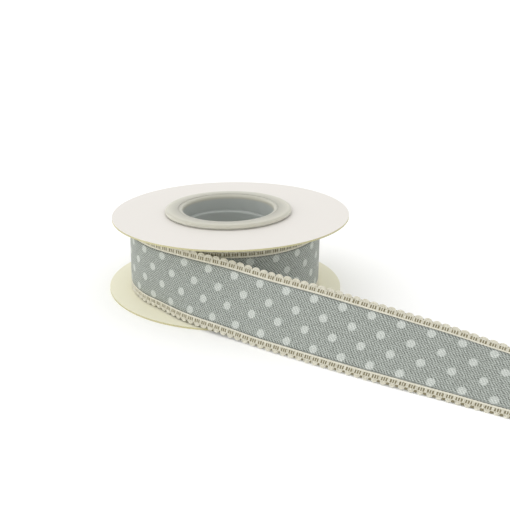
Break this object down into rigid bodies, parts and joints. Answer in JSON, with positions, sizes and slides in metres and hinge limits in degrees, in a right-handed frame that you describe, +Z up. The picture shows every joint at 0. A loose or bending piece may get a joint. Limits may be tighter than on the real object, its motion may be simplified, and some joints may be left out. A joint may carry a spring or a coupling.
{
  "type": "reel of lace-edged ribbon",
  "caption": "Flanged reel wound with woven ribbon, printed with pale dots and edged with scalloped lace along both sides, its loose end pulled out along the table.",
  "frame": {"origin": "on the table, under the middle of the whole footprint of reel and loose end", "axes": "+Z up along the reel's axis; the loose end leads off towards +X and -Y"},
  "size_m": [0.1134, 0.1172, 0.0251],
  "materials": {
    "card": "uncoated cream-white card, satin",
    "hub": "frosted translucent polyethylene",
    "cloth": "grey-green plain-woven polyester with printed off-white dots",
    "lace": "cream woven cotton edging"
  },
  "bodies": {
    "root": {"flange_bottom": "card", "flange_top": "card", "hub": "hub", "ribbon_roll": "cloth", "roll_lace_lower": "lace", "roll_lace_upper": "lace", "ribbon_tail": "cloth", "tail_lace_lower": "lace", "tail_lace_upper": "lace"}
  },
  "joints": []
}
